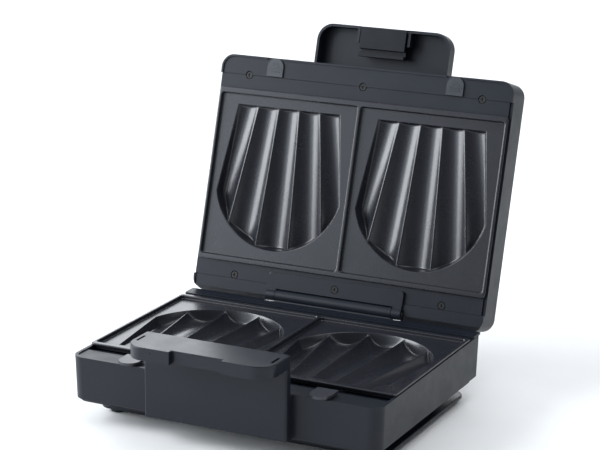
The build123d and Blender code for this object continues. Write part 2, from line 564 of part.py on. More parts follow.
with BuildPart() as lid_housing:
    lid_x = (-LID_HALF, LID_HALF)
    block(lid_x, (LID_FRONT, LID_BACK), (LID_BOTTOM, LID_TOP), LID_CORNER)
    fillet(lid_housing.edges().group_by(Axis.Z)[-1], radius=3.5)
    inner_x = (-LID_HALF + LID_WALL, LID_HALF - LID_WALL)
    slant = [
        (LID_FACE_BACK, LID_BOTTOM),
        (LID_BACK, LID_REAR_SLANT),
        (LID_BACK + 1, LID_REAR_SLANT),
        (LID_BACK + 1, LID_BOTTOM - 1),
        (LID_FACE_BACK, LID_BOTTOM - 1),
    ]
    ridge((-LID_HALF - 1, LID_HALF + 1), slant, mode=Mode.SUBTRACT)
    band_top = LID_FACE + 2.2
    inner_steps = ((LID_FACE_BACK - 0.5, band_top), (LID_BACK - LID_WALL, LID_REAR_SLANT + 2.5))
    for inner_back, inner_z in inner_steps:
        inner_y = (LID_FRONT + LID_WALL, inner_back)
        block(inner_x, inner_y, (inner_z, LID_TOP - LID_WALL), 8.5, mode=Mode.SUBTRACT)
    side_x = (-LID_HALF - 1, LID_HALF + 1)
    block(side_x, (FRAME_FRONT, FRAME_BACK), (LID_BOTTOM, SIDE_RIM), mode=Mode.SUBTRACT)
    window_y = (FRAME_FRONT - SEAM, FRAME_BACK + SEAM)
    block(inner_x, window_y, (LID_BOTTOM, band_top), 1.0, mode=Mode.SUBTRACT)
    rim_x = (-PLATE_HALF - 0.2, PLATE_HALF + 0.2)
    block(rim_x, (-PLATE_DEPTH - 0.3, 0.3), (LID_BOTTOM, LID_FACE + 0.7), mode=Mode.SUBTRACT)
    face_x = (-LID_HALF + 1.6, LID_HALF - 1.6)
    block(face_x, (LID_FRONT + 1.6, LID_BACK + 1), (LID_BOTTOM, LID_FACE), 9.4, mode=Mode.SUBTRACT)
    for boss_x, boss_y in LID_SCREWS:
        pillar(boss_x, boss_y, (FRAME_SHEET, LID_TOP - LID_WALL), 3.8)
        pillar(boss_x, boss_y, (LID_FACE, 16.0), SCREW_RADIUS, mode=Mode.SUBTRACT)
    for boss_x, boss_y in FRONT_SCREWS:
        pillar(boss_x, boss_y, (LID_FACE, SEAT_TOP), SEAT_RADIUS, mode=Mode.SUBTRACT)
    for lamp_x, lamp_y in LAMP_PLACES.values():
        pillar(lamp_x, lamp_y, (LID_TOP - LID_WALL, LID_TOP), LAMP_RADIUS, mode=Mode.SUBTRACT)
    # gap for the fixed barrel and the bracket that turns on its pins
    gap_x = (-BRACKET_HALF - 0.3, BRACKET_HALF + 0.3)
    block(gap_x, (16.8, LID_BACK + 1), (LID_BOTTOM, 8.4), mode=Mode.SUBTRACT)
    for side in SIDES:
        slot_x = (side * TAB_X - 5.0, side * TAB_X + 5.0)
        block(slot_x, TAB_SLOT_Y, (LID_FACE, band_top), mode=Mode.SUBTRACT)
        thumb_x = (side * TAB_X - 8.2, side * TAB_X + 8.2)
        block(thumb_x, (LID_FRONT - 1, LID_FRONT + 2), (LID_BOTTOM, LID_FACE), mode=Mode.SUBTRACT)
        pillar(side * HANDLE_SCREW[0], HANDLE_SCREW[1], (LID_TOP - LID_WALL, LID_TOP), 1.5, Mode.SUBTRACT)

with BuildPart() as lid_frame:
    block((-128.7, 128.7), (FRAME_FRONT, FRAME_BACK), (FRAME_FACE, FRAME_RAIL), 1.0)
    well_y = (WELL_FRONT, WELL_BACK)
    block((-125.4, 125.4), well_y, (FRAME_FACE, FRAME_RAIL), 2.0, mode=Mode.SUBTRACT)
    block((-129.5, 129.5), well_y, (FRAME_FACE, 6.2), mode=Mode.SUBTRACT)
    for strip_y in ((FRAME_FRONT - 1, WELL_FRONT - 2), (WELL_BACK + 2, FRAME_BACK + 1)):
        block((-126, 126), strip_y, (FRAME_SHEET, FRAME_RAIL), mode=Mode.SUBTRACT)
    for screw_x, screw_y in LID_SCREWS:
        pillar(screw_x, screw_y, (FRAME_FACE, FRAME_SHEET), 1.5, mode=Mode.SUBTRACT)
    for screw_x, screw_y in FRONT_SCREWS + REAR_SCREWS:
        pillar(screw_x, screw_y, (FRAME_FACE, SEAT_TOP), SEAT_RADIUS, mode=Mode.SUBTRACT)

with BuildPart() as hinge_bracket:
    bracket_x = (-BRACKET_HALF, BRACKET_HALF)
    block(bracket_x, (3.5, 17.4), (BRACKET_FACE, FRAME_FACE), 2.5)
    block(bracket_x, (FRAME_BACK, 17.5), (LID_FACE, FRAME_FACE), mode=Mode.SUBTRACT)
    block((-55.0, 55.0), (16.8, 18.0), (BRACKET_FACE, FRAME_FACE), mode=Mode.SUBTRACT)
    for side in SIDES:
        ear_x = span(side * EAR_INNER, side * BRACKET_HALF)
        block(ear_x, (16.9, HINGE_Y), (BRACKET_FACE, 7.6))
        rod(ear_x, HINGE_Y, HINGE_Z, EAR_RADIUS)
        rod(ear_x, HINGE_Y, HINGE_Z, PIN_RADIUS + RUNNING_CLEARANCE, mode=Mode.SUBTRACT)
    pillar(*BRACKET_SCREW, (BRACKET_FACE, FRAME_FACE), 1.5, mode=Mode.SUBTRACT)
    pillar(*BRACKET_SCREW, (BRACKET_FACE, BRACKET_FACE + 1.2), SEAT_RADIUS, mode=Mode.SUBTRACT)

with BuildPart() as lid_screws:
    for screw_x, screw_y in FRONT_SCREWS + REAR_SCREWS:
        pan_head_screw(screw_x, screw_y, SEAT_TOP - SCREW_HEAD, 10.0)
    pan_head_screw(*BRACKET_SCREW, BRACKET_FACE + 1.2 - SCREW_HEAD, 12.0)

lid_lamps = {}
for lamp_name, lamp_place in LAMP_PLACES.items():
    with BuildPart() as lamp:
        pillar(*lamp_place, (LID_TOP - LID_WALL, LID_TOP + 0.8), LAMP_RADIUS)
        fillet(lamp.edges().group_by(Axis.Z)[-1], radius=0.6)
    lid_lamps[lamp_name] = lamp

with BuildPart() as upper_reflector:
    mirrored_pair(lower_reflector)

with BuildPart() as upper_element:
    mirrored_pair(lower_element)

with BuildPart() as upper_element_clips:
    mirrored_pair(lower_element_clips)

with BuildPart() as upper_catch_springs:
    mirrored_pair(lower_catch_springs)


# ---------------------------------------------------------------- upper handle and latch
HANDLE_BACK = -128.0
SLOPE_START = -152.0
JAMB = 2.2

with BuildPart() as upper_handle:
    nosed_block(HANDLE_HALF, (HANDLE_FRONT, HANDLE_BACK), (LID_TOP, HANDLE_TOP), HANDLE_CORNER, 6.0)
    slope = [(SLOPE_START, HANDLE_TOP), (HANDLE_BACK + 1, HANDLE_TOP), (HANDLE_BACK + 1, LID_TOP + 1.5)]
    ridge((-HANDLE_HALF - 1, HANDLE_HALF + 1), slope, mode=Mode.SUBTRACT)
    fillet(upper_handle.edges().group_by(Axis.Z)[-1], radius=2.0)
    under_x = (-HANDLE_HALF - 1, HANDLE_HALF + 1)
    block(under_x, (HANDLE_FRONT - 1, LID_FRONT - 0.2), (LID_TOP, HANDLE_RIM), mode=Mode.SUBTRACT)
    tray_y = (HANDLE_FRONT + HANDLE_WALL, LID_FRONT)
    tray_half = HANDLE_HALF - HANDLE_WALL
    tray_radius = HANDLE_CORNER - HANDLE_WALL
    nosed_block(tray_half, tray_y, (HANDLE_RIM, HANDLE_FLOOR), tray_radius, mode=Mode.SUBTRACT)
    block((-56, 56), (LID_FRONT + 3, SLOPE_START), (LID_TOP, HANDLE_FLOOR), 3.0, mode=Mode.SUBTRACT)
    # notch for the latch between two jambs that hold its pin
    notch_x = (-NOTCH_HALF, NOTCH_HALF)
    block(notch_x, (HANDLE_FRONT - 1, HANDLE_FRONT + 3), (HANDLE_RIM, HANDLE_FLOOR), mode=Mode.SUBTRACT)
    for side in SIDES:
        jamb_x = span(side * NOTCH_HALF, side * (NOTCH_HALF + JAMB))
        block(jamb_x, (HANDLE_FRONT + 0.2, -196.0), (HANDLE_RIM, HANDLE_FLOOR))
        pillar(side * HANDLE_SCREW[0], HANDLE_SCREW[1], (LID_TOP, HANDLE_FLOOR), 4.5)
        pillar(side * HANDLE_SCREW[0], HANDLE_SCREW[1], (LID_TOP, HANDLE_FLOOR - 2), 1.3, mode=Mode.SUBTRACT)
    pin_x = (-NOTCH_HALF - JAMB, NOTCH_HALF + JAMB)
    rod(pin_x, LATCH_Y, LATCH_Z, LATCH_PIN_RADIUS, mode=Mode.SUBTRACT)

with BuildPart() as handle_screws:
    for side in SIDES:
        head_z = LID_TOP - LID_WALL - SCREW_HEAD
        pan_head_screw(side * HANDLE_SCREW[0], HANDLE_SCREW[1], head_z, 9.0)

with BuildPart() as latch_pin:
    rod(pin_x, LATCH_Y, LATCH_Z, LATCH_PIN_RADIUS)

with BuildPart() as latch_clip:
    face_z = 29.3
    back_z = 32.6
    hook_z = 35.6
    section = [
        (-209.8, 30.5),
        (-208.6, face_z),
        (-191.7, face_z),
        (-191.3, hook_z - 2.0),
        (-187.6, hook_z - 2.0),
        (-187.6, face_z + 0.3),
        (-185.0, face_z + 0.3),
        (-185.0, hook_z),
        (-193.0, hook_z),
        (-193.0, back_z),
        (-209.8, back_z),
    ]
    latch_x = (-LATCH_HALF, LATCH_HALF)
    ridge(latch_x, section)
    rod(latch_x, LATCH_Y, LATCH_Z, 2.6)
    rod(latch_x, LATCH_Y, LATCH_Z, LATCH_PIN_RADIUS + RUNNING_CLEARANCE, mode=Mode.SUBTRACT)


# ---------------------------------------------------------------- output
base_pieces = {
    "base_housing": base_housing,
    "bottom_cover": bottom_cover,
    "cord_wrap_plate": cord_wrap_plate,
    "rubber_feet": rubber_feet,
    "base_screws": base_screws,
    "handle_post": handle_post,
    "lower_grip": lower_grip,
    "grip_screws": grip_screws,
    "post_screws": post_screws,
    "hinge_barrel": hinge_barrel,
    "hinge_pins": hinge_pins,
    "cord_gland": cord_gland,
    "terminal_block": terminal_block,
    "lower_plate": lower_plate,
    "lower_reflector": lower_reflector,
    "lower_element": lower_element,
    "lower_element_clips": lower_element_clips,
    "lower_thermostat": lower_thermostat,
    "thermal_fuse": thermal_fuse,
    "lower_catch_springs": lower_catch_springs,
    **base_tabs,
}
lid_pieces = {
    "lid_housing": lid_housing,
    "lid_frame": lid_frame,
    "hinge_bracket": hinge_bracket,
    "lid_screws": lid_screws,
    "upper_plate": upper_plate,
    "upper_reflector": upper_reflector,
    "upper_element": upper_element,
    "upper_element_clips": upper_element_clips,
    "upper_catch_springs": upper_catch_springs,
    "upper_handle": upper_handle,
    "handle_screws": handle_screws,
    "latch_clip": latch_clip,
    "latch_pin": latch_pin,
    **lid_lamps,
    **lid_tabs,
}

os.makedirs("parts", exist_ok=True)
for piece in lid_pieces.values():
    piece.part = piece.part.rotate(HINGE_AXIS, -LID_OPEN)
for name, piece in {**base_pieces, **lid_pieces}.items():
    piece.part.label = name
    export_step(piece.part, f"parts/{name}.step")
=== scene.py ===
import json
import math

import bmesh
import bpy
from mathutils import Matrix, Vector


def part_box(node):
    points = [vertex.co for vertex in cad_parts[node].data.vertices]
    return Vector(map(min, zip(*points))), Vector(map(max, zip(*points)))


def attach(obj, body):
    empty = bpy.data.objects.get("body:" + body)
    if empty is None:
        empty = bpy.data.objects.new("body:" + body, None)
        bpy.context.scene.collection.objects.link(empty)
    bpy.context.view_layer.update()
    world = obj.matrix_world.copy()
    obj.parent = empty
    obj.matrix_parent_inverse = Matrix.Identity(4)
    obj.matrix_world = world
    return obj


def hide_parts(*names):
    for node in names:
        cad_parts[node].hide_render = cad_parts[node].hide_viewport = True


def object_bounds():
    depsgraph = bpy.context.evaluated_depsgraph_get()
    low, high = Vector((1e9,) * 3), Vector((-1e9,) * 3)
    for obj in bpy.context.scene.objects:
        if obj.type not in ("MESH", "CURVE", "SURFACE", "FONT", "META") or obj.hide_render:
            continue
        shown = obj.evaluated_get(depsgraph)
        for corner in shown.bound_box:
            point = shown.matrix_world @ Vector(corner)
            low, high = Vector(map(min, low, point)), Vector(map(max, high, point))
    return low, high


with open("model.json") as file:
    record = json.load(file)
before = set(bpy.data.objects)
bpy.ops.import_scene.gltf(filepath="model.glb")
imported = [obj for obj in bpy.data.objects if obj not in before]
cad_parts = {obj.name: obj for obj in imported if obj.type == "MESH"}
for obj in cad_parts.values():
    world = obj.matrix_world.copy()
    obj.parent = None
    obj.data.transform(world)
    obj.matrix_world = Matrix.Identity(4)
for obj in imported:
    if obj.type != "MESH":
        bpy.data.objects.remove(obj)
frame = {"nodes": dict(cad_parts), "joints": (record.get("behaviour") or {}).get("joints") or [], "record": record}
cad_bounds = [list(corner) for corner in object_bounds()]

# Twin-plate snack maker, standing open. The lengths of the cooking plates and the tab ribs are in
# millimetres from the datum: the middle of the lower plate's back edge, in the plane of its rim.
MM = 0.001
_, plate_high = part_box("lower_plate")
DATUM = Vector((0.0, plate_high.y, plate_high.z))
JOINTS = {joint["name"]: joint for joint in frame["joints"]}
HINGE = Vector(JOINTS["lid_hinge"]["pos_m"])
LID_OPEN = math.radians(JOINTS["lid_hinge"]["range_deg"][1])
TO_FRAME = Matrix.Translation(DATUM) @ Matrix.Scale(MM, 4)
TO_HINGE = Matrix.Translation(HINGE)
SWING_OPEN = TO_HINGE @ Matrix.Rotation(-LID_OPEN, 4, "X") @ TO_HINGE.inverted()


# ---------------------------------------------------------------- materials
# Noise scales are in features per metre.
DRIFT_SCALE = 22.0
MARKS_SCALE = 65.0
FLECK_SCALE = 1400.0
FLECK_STRENGTH = 0.3


def add_node(tree, kind, inputs=(), **settings):
    """Adds a shader node, sets its properties and its unlinked inputs."""
    node = tree.nodes.new(kind)
    for key, value in settings.items():
        setattr(node, key, value)
    for key, value in dict(inputs).items():
        node.inputs[key].default_value = value
    return node


def noise(tree, where, scale, detail=2.0, rough=0.5):
    """Noise over the object's own coordinates."""
    node = add_node(
        tree, "ShaderNodeTexNoise", {"Scale": scale, "Detail": detail, "Roughness": rough}
    )
    tree.links.new(where.outputs["Object"], node.inputs["Vector"])
    return node


def spread(tree, source, low, high, start=0.3, end=0.7):
    """Maps a noise onto the range low..high."""
    limits = {"From Min": start, "From Max": end, "To Min": low, "To Max": high}
    node = add_node(tree, "ShaderNodeMapRange", limits)
    tree.links.new(source.outputs[0], node.inputs["Value"])
    return node


def surface(name, dark, light, rough, grain, bump, metallic=0.0, ior=1.46, specks=None):
    """A finish with a slow drift of colour, handling marks in its gloss and a fine grain in relief.

    dark and light are the drift's two colours, and rough is the range of roughness. grain is the
    size of the relief's features and bump its height, in metres. specks is a colour of flecks.
    """
    material = bpy.data.materials.new(name)
    material.use_nodes = True
    tree = material.node_tree
    shader = tree.nodes["Principled BSDF"]
    shader.inputs["Metallic"].default_value = metallic
    shader.inputs["IOR"].default_value = ior
    where = add_node(tree, "ShaderNodeTexCoord")
    mix = add_node(
        tree, "ShaderNodeMix", {"A": (*dark, 1.0), "B": (*light, 1.0)}, data_type="RGBA"
    )
    drift = spread(tree, noise(tree, where, DRIFT_SCALE, 3.0), 0.0, 1.0)
    tree.links.new(drift.outputs[0], mix.inputs["Factor"])
    colour = mix.outputs["Result"]
    if specks:
        fleck = add_node(tree, "ShaderNodeMix", {"B": (*specks, 1.0)}, data_type="RGBA")
        fine = noise(tree, where, FLECK_SCALE, 1.0)
        dose = spread(tree, fine, 0.0, FLECK_STRENGTH, 0.55, 0.75)
        tree.links.new(dose.outputs[0], fleck.inputs["Factor"])
        tree.links.new(colour, fleck.inputs["A"])
        colour = fleck.outputs["Result"]
    tree.links.new(colour, shader.inputs["Base Color"])
    marks = spread(tree, noise(tree, where, MARKS_SCALE, 4.0, 0.65), *rough)
    tree.links.new(marks.outputs[0], shader.inputs["Roughness"])
    relief = add_node(tree, "ShaderNodeBump", {"Strength": 1.0, "Distance": bump})
    tree.links.new(noise(tree, where, 1.0 / grain, 2.0).outputs[0], relief.inputs["Height"])
    tree.links.new(relief.outputs[0], shader.inputs["Normal"])
    return material


FINISHES = {
    "casing": surface(
        "casing_moulding", (0.007, 0.0095, 0.0155), (0.009, 0.0115, 0.018), (0.36, 0.46),
        grain=0.0004, bump=4e-6, ior=1.34,
    ),
    "grip": surface(
        "grip_moulding", (0.007, 0.0095, 0.0155), (0.009, 0.0115, 0.018), (0.27, 0.34),
        grain=0.0005, bump=2e-6, ior=1.36,
    ),
    "latch": surface(
        "latch_moulding", (0.0045, 0.006, 0.0095), (0.006, 0.0075, 0.0115), (0.34, 0.42),
        grain=0.0005, bump=2e-6, ior=1.3,
    ),
    # The tabs' colour is set well above the casing's to offset the shade that falls on them: painted fill light.
    "tab": surface(
        "tab_moulding_painted_fill", (0.026, 0.029, 0.037), (0.032, 0.035, 0.044), (0.3, 0.38),
        grain=0.0005, bump=2e-6,
    ),
    "nonstick": surface(
        "nonstick_coating", (0.0105, 0.0115, 0.0165), (0.0135, 0.0145, 0.02), (0.24, 0.28),
        grain=0.0007, bump=1.2e-6, ior=1.52, specks=(0.017, 0.018, 0.024),
    ),
    "reflector": surface(
        "rolled_aluminium", (0.6, 0.6, 0.61), (0.7, 0.7, 0.71), (0.2, 0.32),
        grain=0.002, bump=4e-6, metallic=1.0,
    ),
    "element": surface(
        "element_tube", (0.16, 0.15, 0.14), (0.24, 0.23, 0.21), (0.4, 0.55),
        grain=0.0006, bump=4e-6, metallic=1.0,
    ),
    "zinc_steel": surface(
        "zinc_plated_steel", (0.42, 0.42, 0.4), (0.52, 0.52, 0.5), (0.28, 0.4),
        grain=0.0008, bump=3e-6, metallic=1.0,
    ),
    "black_steel": surface(
        "blackened_steel", (0.004, 0.004, 0.005), (0.007, 0.007, 0.008), (0.4, 0.55),
        grain=0.0005, bump=3e-6, ior=1.4,
    ),
    "spring_steel": surface(
        "spring_steel", (0.4, 0.4, 0.41), (0.5, 0.5, 0.51), (0.22, 0.34),
        grain=0.0008, bump=2e-6, metallic=1.0,
    ),
    "rubber": surface(
        "soft_rubber", (0.009, 0.009, 0.01), (0.014, 0.014, 0.015), (0.7, 0.85),
        grain=0.0004, bump=1e-5,
    ),
    "terminal": surface(
        "ivory_moulding", (0.6, 0.57, 0.48), (0.68, 0.65, 0.56), (0.35, 0.45),
        grain=0.0006, bump=3e-6,
    ),
    "red_lens": surface(
        "red_lens", (0.3, 0.008, 0.006), (0.36, 0.012, 0.01), (0.12, 0.18),
        grain=0.002, bump=1e-6,
    ),
    "green_lens": surface(
        "green_lens", (0.01, 0.16, 0.03), (0.014, 0.2, 0.04), (0.12, 0.18),
        grain=0.002, bump=1e-6,
    ),
}
SLOTS = {part["node"]: part["material_slot"] for part in frame["record"]["subparts"]}
for node_name, node in frame["nodes"].items():
    node.data.materials.clear()
    node.data.materials.append(FINISHES[SLOTS[node_name]])


# ---------------------------------------------------------------- helpers for meshes
def mesh_of(bm, name):
    """Turns a finished bmesh into a mesh."""
    mesh = bpy.data.meshes.new(name)
    bm.to_mesh(mesh)
    bm.free()
    return mesh


def even_flats(piece, keep_sharp):
    """Smooth shading whose normals follow the larger faces, so that flat ground stays flat."""
    for polygon in piece.data.polygons:
        polygon.use_smooth = True
    weigh = piece.modifiers.new("even_flats", "WEIGHTED_NORMAL")
    weigh.mode = "FACE_AREA"
    weigh.weight = 100
    weigh.keep_sharp = keep_sharp


def add_piece(mesh, slot):
    """Links an object of the mesh's name to the scene, in the finish of a material slot."""
    mesh.materials.append(FINISHES[slot])
    piece = bpy.data.objects.new(mesh.name, mesh)
    bpy.context.scene.collection.objects.link(piece)
    even_flats(piece, keep_sharp=True)
    return piece


def small_block(bm, x, y, z, ease):
    """Closed block between the pairs x, y and z, with its edges eased."""
    made = bmesh.ops.create_cube(bm, size=1.0)["verts"]
    for vert in made:
        vert.co = Vector([ends[value > 0] for ends, value in zip((x, y, z), vert.co)])
    edges = list({edge for vert in made for edge in vert.link_edges})
    bmesh.ops.bevel(bm, geom=edges, offset=ease, segments=2, profile=0.5, affect="EDGES")


# ---------------------------------------------------------------- cooking plates
PLATE_HALF = 130.0
PLATE_DEPTH = 145.9
PLATE_CORNER = 3.0
PLATE_GAP = 0.4  # between the rims of the two plates when the lid is closed
EDGE_Z = -1.9  # lower side of the plate's flat edge
BODY_HALF = 128.7
BODY_Y = (-143.4, -2.2)
BODY_CORNER = 2.0
CORNER_STEPS = 6
SHEET = 2.2
CELL_X = 64.5
CELL_HALF = 62.8
CELL_Y = (-141.0, -4.5)
CELL_CORNER = 2.0
CELL_Z = -3.0  # flat ground of a cell
UNDER_Z = CELL_Z - SHEET

# Each cell's shell has five round flutes that fan out from a point in front of the cell. Its
# outline has a straight edge in front, two straight sides that lean outwards, and an arc.
FLUTES = range(-2, 3)
FLUTE_RADIUS = 17.0
FLUTE_STEP = math.radians(5.5)
FLUTE_FALL = 7.0 / 115.0  # the flutes get deeper towards the arc
FLUTE_START_Z = -6.0
OUTER_RIDGE = 1.5 * FLUTE_STEP
RIDGE_BLEND = 1.1
WALL_BLEND = 3.0
LIP_BLEND = 1.5
FAN_RADIUS = 197.0
STRAIGHT_Y = -132.4
STRAIGHT_HALF = 47.0
FAN_Y = STRAIGHT_Y - FAN_RADIUS
ARC_RADIUS = 59.0
ARC_Y = -72.5
DRAFT = math.tan(math.radians(16.0))
SIDE_END_Y = -58.0  # where a straight side meets the arc
SIDE_END_X = math.sqrt(ARC_RADIUS**2 - (SIDE_END_Y - ARC_Y) ** 2)
SIDE_LEAN = math.atan2(SIDE_END_X - STRAIGHT_HALF, SIDE_END_Y - STRAIGHT_Y)
# distance of a straight side from the arc's centre
SIDE_REACH = STRAIGHT_HALF * math.cos(SIDE_LEAN) - (STRAIGHT_Y - ARC_Y) * math.sin(SIDE_LEAN)


def smooth_min(a, b, size):
    """The lower of two heights, blended where they are within size of each other."""
    gap = max(size - abs(a - b), 0.0)
    return min(a, b) - gap * gap / (4.0 * size)


def inside_distance(x, y):
    """How far a point of the cell lies inside the shell's outline; negative outside."""
    dx, dy = abs(x), y - ARC_Y
    side = SIDE_REACH - dx * math.cos(SIDE_LEAN) + dy * math.sin(SIDE_LEAN)
    arc = ARC_RADIUS - math.hypot(dx, max(dy, 0.0))
    return min(side, arc, y - STRAIGHT_Y)


def cavity_height(x, y, extra):
    """Height of a cell's surface, or of its underside when extra is the sheet's thickness."""
    floor = 0.0
    for step in FLUTES:
        angle = step * FLUTE_STEP
        along = x * math.sin(angle) + (y - FAN_Y) * math.cos(angle)
        across = x * math.cos(angle) - (y - FAN_Y) * math.sin(angle)
        radius = FLUTE_RADIUS + extra
        sink = math.sqrt(max(radius * radius - across * across, 1.0))
        axis_z = FLUTE_RADIUS + FLUTE_START_Z - (along - FAN_RADIUS) * FLUTE_FALL
        floor = smooth_min(floor, axis_z - sink, RIDGE_BLEND)
    wall = CELL_Z - (inside_distance(x, y) + extra) / DRAFT
    bowl = -smooth_min(-floor, -wall, WALL_BLEND)
    return smooth_min(CELL_Z - extra, bowl, LIP_BLEND)


# The cavity's grid: its columns' places from a flute's bottom to the next ridge and from the outer
# ridge to the side, and its rows' distances from the straight edge and from the arc. Both lie
# closer together where the surface bends most.
HALF_FLUTE = [0.0, 0.2, 0.38, 0.54, 0.67, 0.78, 0.87, 0.94, 1.0]
SIDE_FLUTE = [
    0.04, 0.09, 0.15, 0.22, 0.3, 0.39, 0.48, 0.57, 0.65, 0.72, 0.78, 0.83,
    0.87, 0.9, 0.925, 0.944, 0.96, 0.975, 0.9875, 1.0,
]
FOOT_ROWS = [0.0, 0.35, 0.7, 0.95, 1.2, 1.45, 1.7, 2.0, 2.4, 3.0, 4.0, 5.5, 7.5, 10.0]
ARC_ROWS = [
    0.0, 0.35, 0.7, 0.95, 1.2, 1.4, 1.6, 1.8, 2.0, 2.2, 2.45, 2.7, 3.0, 3.3, 3.6, 3.9, 4.2, 4.6,
    5.1, 5.8, 6.7, 8.0, 9.5, 11.0,
]
MIDDLE_ROWS = 44
MARGIN = 1.2  # flat ground that the grid takes in round the outline


def column_ends(half_flutes, side_part, grow):
    """Ends of one column of the cavity's grid, on the straight edge and on the arc, for x >= 0.

    half_flutes counts from the middle flute's bottom in half flutes, up to 3 at the outer ridge.
    From there side_part goes from 0 to 1 at the side. grow is how far the outline is grown.
    """
    start_y = STRAIGHT_Y - grow
    radius = ARC_RADIUS + grow
    angle = min(half_flutes * FLUTE_STEP / 2, OUTER_RIDGE)
    fan_to_arc = ARC_Y - FAN_Y
    near = fan_to_arc * math.cos(angle)
    run = near + math.sqrt(near * near - fan_to_arc * fan_to_arc + radius * radius)
    start_x = (start_y - FAN_Y) * math.tan(angle)
    end_x, end_y = run * math.sin(angle), FAN_Y + run * math.cos(angle)
    if side_part > 0:
        corner_reach = SIDE_REACH + grow + (start_y - ARC_Y) * math.sin(SIDE_LEAN)
        corner_x = corner_reach / math.cos(SIDE_LEAN)
        start_x += (corner_x - start_x) * side_part
        ridge_turn = math.atan2(end_y - ARC_Y, end_x)
        side_turn = math.acos((SIDE_REACH + grow) / radius) - SIDE_LEAN
        turn = ridge_turn + (side_turn - ridge_turn) * side_part
        end_x, end_y = radius * math.cos(turn), ARC_Y + radius * math.sin(turn)
    return Vector((start_x, start_y)), Vector((end_x, end_y))


def half_columns():
    """The grid's columns from the middle flute to the side, as (half flutes, side part)."""
    to_bottom = [1.0 - part for part in reversed(HALF_FLUTE)]
    places = [(0.0, 0.0)]
    for half, parts in enumerate((HALF_FLUTE, to_bottom, HALF_FLUTE)):
        places += [(half + part, 0.0) for part in parts[1:]]
    return places + [(3.0, part) for part in SIDE_FLUTE]


def cavity_grid(bm, centre_x, extra):
    """Grid over one cavity, laid along its flutes. Returns the loop of vertices round it."""
    right = [column_ends(*place, MARGIN + extra) for place in half_columns()]
    left = [(Vector((-a.x, a.y)), Vector((-b.x, b.y))) for a, b in reversed(right[1:])]
    grid = []
    for start, end in left + right:
        length = (end - start).length
        reach = length - ARC_ROWS[-1] - FOOT_ROWS[-1]
        middle = [FOOT_ROWS[-1] + reach * k / MIDDLE_ROWS for k in range(1, MIDDLE_ROWS)]
        line = []
        for step in FOOT_ROWS + middle + [length - row for row in reversed(ARC_ROWS)]:
            x, y = start.lerp(end, step / length)
            line.append(bm.verts.new((centre_x + x, y, cavity_height(x, y, extra))))
        grid.append(line)
    for a, b in zip(grid, grid[1:]):
        for k in range(len(a) - 1):
            bm.faces.new((a[k], b[k], b[k + 1], a[k + 1]))
    bottom = [line[0] for line in grid]
    top = [line[-1] for line in grid]
    return bottom + grid[-1][1:-1] + top[::-1] + grid[0][-2:0:-1]


def rounded_loop(bm, x, y, radius, z):
    """Loop of vertices round a rectangle with rounded corners, between the pairs x and y."""
    left, right = x[0] + radius, x[1] - radius
    front, back = y[0] + radius, y[1] - radius
    corners = ((right, back), (left, back), (left, front), (right, front))
    loop = []
    for quarter, (cx, cy) in enumerate(corners):
        for k in range(CORNER_STEPS + 1):
            turn = math.pi / 2 * (quarter + k / CORNER_STEPS)
            co = (cx + radius * math.cos(turn), cy + radius * math.sin(turn), z)
            loop.append(bm.verts.new(co))
    return loop


def stepped_loops(bm, x, y, radius, profile):
    """Rounded rectangles grown and raised as the profile says, skinned one to the next."""
    loops = []
    for grow, z in profile:
        spread_x = (x[0] - grow, x[1] + grow)
        spread_y = (y[0] - grow, y[1] + grow)
        loops.append(rounded_loop(bm, spread_x, spread_y, radius + grow, z))
    for a, b in zip(loops, loops[1:]):
        skin(bm, a, b)
    return loops


def skin(bm, a, b):
    """Quads between two closed loops of as many vertices."""
    for k in range(len(a)):
        bm.faces.new((a[k - 1], a[k], b[k], b[k - 1]))


def loop_edges(bm, loop):
    """The edges of a closed loop, made where they are missing."""
    edges = []
    for k in range(len(loop)):
        edge = bm.edges.get((loop[k - 1], loop[k]))
        edges.append(edge or bm.edges.new((loop[k - 1], loop[k])))
    return edges


def flat_fill(bm, *loops):
    """Fills the flat ground between an outer loop and the loops inside it."""
    edges = [edge for loop in loops for edge in loop_edges(bm, loop)]
    bmesh.ops.triangle_fill(bm, use_beauty=True, edges=edges)


# Profiles round a cell, round the plate's edge and round its underside, as (outwards, height).
CELL_PROFILE = [
    (-1.0, CELL_Z), (-0.62, CELL_Z + 0.05), (-0.32, CELL_Z + 0.2), (-0.1, CELL_Z + 0.45),
    (0.02, CELL_Z + 0.9), (0.18, -0.85), (0.28, -0.45), (0.46, -0.18), (0.72, -0.04), (1.0, 0.0),
]
EDGE_PROFILE = [
    (-0.8, 0.0), (-0.4, -0.07), (-0.12, -0.28), (0.0, -0.62),
    (0.0, -1.35), (-0.1, -1.7), (-0.35, EDGE_Z),
]
UNDER_PROFILE = [(0.0, EDGE_Z), (0.0, UNDER_Z + 0.6), (-0.18, UNDER_Z + 0.18), (-0.6, UNDER_Z)]

# Four lugs under the plate, each with a window for a catch.
LUG_X = 81.0
LUG_HALF = 8.0
LUG_WINDOW = 5.6
LUG_Z = (-15.0, UNDER_Z + 0.3)
LUG_WINDOW_Z = (-12.4, -9.6)
LUG_DEPTHS = ((-143.4, -140.4), (-5.2, -2.2))
LUG_EASE = 0.35


def add_lug(bm, centre, y):
    """Lug of two posts and two bars, which stand round its window."""
    for side in (-1, 1):
        post_x = sorted((centre + side * LUG_WINDOW, centre + side * LUG_HALF))
        small_block(bm, post_x, y, LUG_Z, LUG_EASE)
    bar_x = (centre - LUG_HALF, centre + LUG_HALF)
    for bar_z in ((LUG_Z[0], LUG_WINDOW_Z[0]), (LUG_WINDOW_Z[1], LUG_Z[1])):
        small_block(bm, bar_x, y, bar_z, LUG_EASE)


